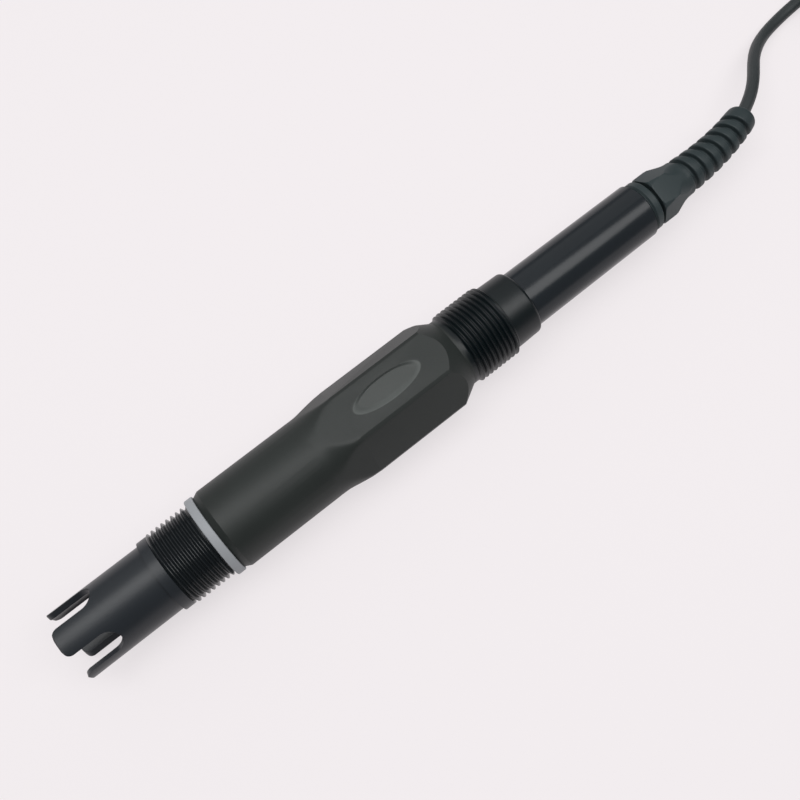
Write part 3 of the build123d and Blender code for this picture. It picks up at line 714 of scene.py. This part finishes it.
def groove_outline():
    """One pitch of the boot, from the middle of a rib to the next, as places and radii."""
    half = [(place, boot_start_radius - groove_depth * share) for place, share in half_groove]
    return half + [(groove_pitch - place, radius) for place, radius in reversed(half[:-1])]


def boot_radius(station):
    """The outer radius of the tapered boot at a station."""
    along = (station - boot_start) / boot_length
    return boot_start_radius + (boot_end_radius - boot_start_radius) * along


def nut_radius(station, turn, radius):
    """The outer radius without the groove: the least of hexagon, flare or boot, and chamfer."""
    along = min(max((station - nut_start) / (boot_start - nut_start), 0), 1)
    past = max(station - boot_start, 0) / nut_flat_fade
    flat = nut_flat_radius + (nut_flat_end_radius - nut_flat_radius) * along**nut_flat_taper
    flat += (boot_start_radius - nut_flat_end_radius) * past
    along = max((station - nut_hex_end) / (boot_start - nut_hex_end), 0)
    flare = nut_corner_radius + (boot_start_radius - nut_corner_radius) * along
    flare -= nut_flare_sag * 4 * along * (1 - along)
    chamfer = nut_corner_radius - nut_front_chamfer + station - nut_start
    return min(
        flat / cos(from_flat(turn, nut_turn)), boot_radius(station) if along > 1 else flare, chamfer
    )


def grooved_radius(station, turn, radius):
    """The outer radius of the boot with its groove, which fades in and out at its ends."""
    fade = min(
        max((station - groove_start) / groove_run_out, 0), (groove_end - station) / groove_run_out, 1
    )
    return nut_radius(station, turn, radius) - (boot_start_radius - radius) * fade


def bend_boot(verts):
    """Bends the boot, made straight on the axis, along its arc towards +Y."""
    for vert in verts:
        past = station_of(vert) - boot_bend_start
        if past > 0:
            turn = past / boot_bend_radius
            across = vert.co.y - boot_bend_radius
            vert.co.x = tip_x + boot_bend_start - across * sin(turn)
            vert.co.y = boot_bend_radius + across * cos(turn)


nut_outline = [
    (boot_cut, boot_bore_radius),
    (claw_seat_end, boot_bore_radius),
    (claw_seat_end, claw_seat_radius),
    (nut_socket_end, nut_socket_radius),
    (nut_start, nut_socket_radius),
]
nut_outline += [
    (nut_start + (boot_cut - nut_start) * step / nut_wall_steps, nut_corner_radius)
    for step in range(nut_wall_steps + 1)
]
nut = turned_surface(nut_outline, boot_turn_steps)
outside = [vert for vert in nut.verts if spoke_to(vert).length > nut_corner_radius - near]
reshape(outside, nut_radius)

boot = wound_surface(
    groove_outline(), groove_pitch, boot_cut + boot_cut_gap, groove_end, boot_turn_steps
)
bmesh.ops.rotate(
    boot, verts=boot.verts, cent=on_axis(0), matrix=Matrix.Rotation(groove_turn, 3, "X")
)
reshape(boot.verts, grooved_radius)

boot_end = boot_start + boot_length
tip_outline = [(groove_end + boot_cut_gap, boot_radius(groove_end))]
for step in range(boot_tip_steps + 1):
    turn = pi / 2 * step / boot_tip_steps
    tip_outline.append(
        (
            boot_end - boot_tip_round * (1 - sin(turn)),
            boot_end_radius - boot_tip_round * (1 - cos(turn)),
        )
    )
tip_outline += [
    (boot_end, boot_bore_radius),
    ((boot_end + boot_bend_start) / 2, boot_bore_radius),
    (boot_bend_start, boot_bore_radius),
    (boot_cut + boot_cut_gap, boot_bore_radius),
]
add_surface(nut, boot)
add_surface(nut, turned_surface(tip_outline, boot_turn_steps))
wall_radius = (boot_bore_radius + boot_end_radius) / 2
close_ring(nut, boot_cut, boot_cut_gap * 2, wall_radius, nut_corner_radius)
close_ring(nut, boot_cut, boot_cut_gap * 2, 0, wall_radius)
close_ring(nut, groove_end, boot_cut_gap * 2, wall_radius, nut_corner_radius)
bend_boot(nut.verts)
mesh_piece(nut, "gland_nut_boot", ["gland_nut"], gland_nylon)

# Cable of satin dark grey jacket. It leaves the boot, comes down to the surface that the electrode
# lies on and is put away as a hank of three columns and six layers, five metres in all.
cable_diameter = 4.5 * mm
cable_exit = (141.837 * mm, 4.648 * mm, 14.4 * mm)
cable_route = [
    (147.400, 6.896, 14.40),
    (155.737, 12.248, 13.20),
    (167.137, 21.848, 8.20),
    (178.337, 27.248, 3.70),
    (189.837, 29.548, 2.30),
    (201.737, 30.248, 3.30),
    (211.837, 30.248, 3.30),
]
hank_near_x = 231.837 * mm
hank_far_x = 309.837 * mm
hank_centre_y = 7.748 * mm
hank_inner_radius = 13.5 * mm
hank_bottom = 3.3 * mm
hank_columns = 3
hank_layers = 6
hank_turn_points = 40
straight_share = 0.29
fold_share = 0.21
first_shift = 0.95
first_left_shift = 0.2
shift_step = 0.055
shifts_on_right = 7
tail_start_x = 243 * mm
tail_end_x = 259.837 * mm
tail_height = 31.15 * mm


def hank_place(share, radius, height):
    """A place on a turn of the hank, at a share of the turn from its near end on the +Y side."""
    run = hank_far_x - hank_near_x
    if share < straight_share:
        return (hank_near_x + run * share / straight_share, hank_centre_y + radius, height)
    share -= straight_share
    if share < fold_share:
        turn = pi * share / fold_share
        return (hank_far_x + radius * sin(turn), hank_centre_y + radius * cos(turn), height)
    share -= fold_share
    if share < straight_share:
        return (hank_far_x - run * share / straight_share, hank_centre_y - radius, height)
    turn = pi * (share - straight_share) / fold_share
    return (hank_near_x - radius * sin(turn), hank_centre_y - radius * cos(turn), height)


def hank_points():
    """The turns of the hank, wound out and in, each shifting a little before the one below."""
    cells = []
    for layer in range(hank_layers):
        columns = range(hank_columns)
        for column in columns if layer % 2 else reversed(columns):
            cells.append((column, layer))
    cells.append((hank_columns - 1, hank_layers))
    last_turn = len(cells) - 2
    points = []
    for step in range(hank_turn_points * (last_turn + 1) + 1):
        progress = step / hank_turn_points
        turn = min(int(progress), last_turn)
        share = progress - turn
        group = turn // hank_columns * 2 + (turn % hank_columns == hank_columns - 1)
        middle = first_shift - shift_step * group
        if group >= shifts_on_right:
            middle = first_left_shift - shift_step * (group - shifts_on_right)
        if turn == last_turn:
            middle = first_shift
        shifted = eased((share - middle) / shift_step + 0.5)
        column = cells[turn][0] + (cells[turn + 1][0] - cells[turn][0]) * shifted
        layer = cells[turn][1] + (cells[turn + 1][1] - cells[turn][1]) * shifted
        radius = hank_inner_radius + cable_diameter * column
        points.append(hank_place(share % 1, radius, hank_bottom + cable_diameter * layer))
    return points


tail_y = hank_centre_y + hank_inner_radius + cable_diameter * 2
cable_points = [cable_exit]
cable_points += [tuple(value * mm for value in point) for point in cable_route]
cable_points += hank_points()
cable_points += [(tail_start_x, tail_y, tail_height), (tail_end_x, tail_y, tail_height)]
cable_curve = bpy.data.curves.new("cable", "CURVE")
cable_curve.dimensions = "3D"
cable_line = cable_curve.splines.new("NURBS")
cable_line.points.add(len(cable_points) - 1)
for point, place in zip(cable_line.points, cable_points):
    point.co = (*place, 1)
cable_line.order_u = 3
cable_line.use_endpoint_u = True
cable_line.resolution_u = 4
cable_curve.bevel_depth = cable_diameter / 2
cable_curve.bevel_resolution = 4
cable_curve.use_fill_caps = True
cable = bpy.data.objects.new("cable", cable_curve)
bpy.context.scene.collection.objects.link(cable)
cable_jacket = skin_material(
    "cable_jacket", (0.032, 0.038, 0.04), gloss=(0.42, 0.52), grain_depth=0.01 * mm, shine=0.4
)
cable_curve.materials.append(cable_jacket)
dress(cable_jacket, "inner_cable")
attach(cable, "root")
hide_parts("cord", "cord_hank")

# Two ties of natural nylon hold the hank, and a shrunk sleeve closes the jacket's end, where two
# crimped pins with their insulating sleeves end the leads.
tie_nylon = skin_material("tie_nylon", (0.7, 0.71, 0.68), gloss=(0.35, 0.45), grain_depth=0.008 * mm)
dress(tie_nylon, "left_tie", "right_tie")
shrink_sleeve = skin_material(
    "shrink_sleeve", (0.02, 0.02, 0.02), gloss=(0.35, 0.45), grain_depth=0.01 * mm
)
dress(shrink_sleeve, "end_sleeve")
tinned_metal = skin_material(
    "tinned_metal", (0.7, 0.7, 0.68), gloss=(0.2, 0.3), grain_depth=0.003 * mm
)
tinned_metal.node_tree.nodes["Principled BSDF"].inputs["Metallic"].default_value = 1
dress(tinned_metal, "signal_pin", "screen_pin")
red_sleeve = skin_material(
    "red_sleeve", (0.5, 0.04, 0.03), gloss=(0.35, 0.45), grain_depth=0.005 * mm
)
black_sleeve = skin_material(
    "black_sleeve", (0.03, 0.03, 0.03), gloss=(0.35, 0.45), grain_depth=0.005 * mm
)
dress(red_sleeve, "signal_pin_sleeve")
dress(black_sleeve, "screen_pin_sleeve")

# Floor: a plain pale sheet that the electrode lies on. It keeps the soft shadow, and its glow,
# seen by the camera and in reflections only, gives the picture's white ground.
floor_half = 3.0
ground_colour = (0.888, 0.847, 0.863, 1)
ground_glow_colour = (0.895, 0.851, 0.868, 1)
ground_glow = 0.75
bpy.ops.mesh.primitive_plane_add(size=floor_half * 2, location=(0, 0, 0))
floor = bpy.context.object
floor.name = "floor"
floor_material = bpy.data.materials.new("floor")
floor_material.use_nodes = True
floor_nodes, floor_links = floor_material.node_tree.nodes, floor_material.node_tree.links
floor_nodes.clear()
floor_output = floor_nodes.new("ShaderNodeOutputMaterial")
matt = floor_nodes.new("ShaderNodeBsdfDiffuse")
matt.inputs["Color"].default_value = ground_colour
glow = floor_nodes.new("ShaderNodeEmission")
glow.inputs["Color"].default_value = ground_glow_colour
ray = floor_nodes.new("ShaderNodeLightPath")
seen = floor_nodes.new("ShaderNodeMath")
seen.operation = "MAXIMUM"
seen_or_through = floor_nodes.new("ShaderNodeMath")
seen_or_through.operation = "MAXIMUM"
share = floor_nodes.new("ShaderNodeMath")
share.operation = "MULTIPLY"
share.inputs[1].default_value = ground_glow
blend = floor_nodes.new("ShaderNodeMixShader")
floor_links.new(ray.outputs["Is Camera Ray"], seen.inputs[0])
floor_links.new(ray.outputs["Is Glossy Ray"], seen.inputs[1])
floor_links.new(seen.outputs["Value"], seen_or_through.inputs[0])
floor_links.new(ray.outputs["Is Transmission Ray"], seen_or_through.inputs[1])
floor_links.new(seen_or_through.outputs["Value"], share.inputs[0])
floor_links.new(share.outputs["Value"], blend.inputs["Fac"])
floor_links.new(matt.outputs["BSDF"], blend.inputs[1])
floor_links.new(glow.outputs["Emission"], blend.inputs[2])
floor_links.new(blend.outputs["Shader"], floor_output.inputs["Surface"])
floor.data.materials.append(floor_material)

# Studio light: a dim plain world, a long soft light overhead that draws the lengthwise highlight,
# and a weak broad one from the +Y side that lifts the upper left of every round.
world_strength = 0.17
world = bpy.data.worlds.new("studio")
world.use_nodes = True
bpy.context.scene.world = world
world_nodes = world.node_tree.nodes
world_nodes["Background"].inputs["Color"].default_value = (1, 1, 1, 1)
world_nodes["Background"].inputs["Strength"].default_value = world_strength


def soft_light(name, place, tilt, turn, size, power):
    """A rectangular soft light that shines down, turned about the vertical, then tilted about X."""
    data = bpy.data.lights.new(name, "AREA")
    data.shape = "RECTANGLE"
    data.size, data.size_y = size
    data.energy = power
    light = bpy.data.objects.new(name, data)
    light.location = place
    tilted = Matrix.Rotation(tilt, 3, "X") @ Matrix.Rotation(turn, 3, "Z")
    light.rotation_euler = tilted.to_euler()
    bpy.context.scene.collection.objects.link(light)


soft_light(
    "overhead", place=(0.1, -0.06, 1.0), tilt=0, turn=radians(-36), size=(1.7, 0.52), power=10.8
)
soft_light("side", place=(0.1, 0.8, 0.8), tilt=radians(-45), turn=0, size=(1.6, 1.2), power=3)
bpy.context.scene.view_settings.view_transform = "Standard"

# Camera: above the electrode and a little to its -Y side, rolled so that it runs up to the right,
# as the photograph shows it.
camera_place = Vector((tip_x + 74.6 * mm, -84.2 * mm, axis_height + 295.25 * mm))
camera_lens = 43.38
camera_sensor_width = 36
camera_right = Vector((0.7814, -0.6228, -0.0381))
camera_up = Vector((0.6018, 0.7360, 0.3101))
camera_back = camera_right.cross(camera_up).normalized()
camera_up = camera_back.cross(camera_right).normalized()
camera_data = bpy.data.cameras.new("camera")
camera_data.lens = camera_lens
camera_data.sensor_width = camera_sensor_width
camera_data.clip_start = 10 * mm
camera = bpy.data.objects.new("camera", camera_data)
camera_axes = Matrix((camera_right.normalized(), camera_up, camera_back)).transposed()
camera.matrix_world = Matrix.Translation(camera_place) @ camera_axes.to_4x4()
bpy.context.scene.collection.objects.link(camera)
bpy.context.scene.camera = camera
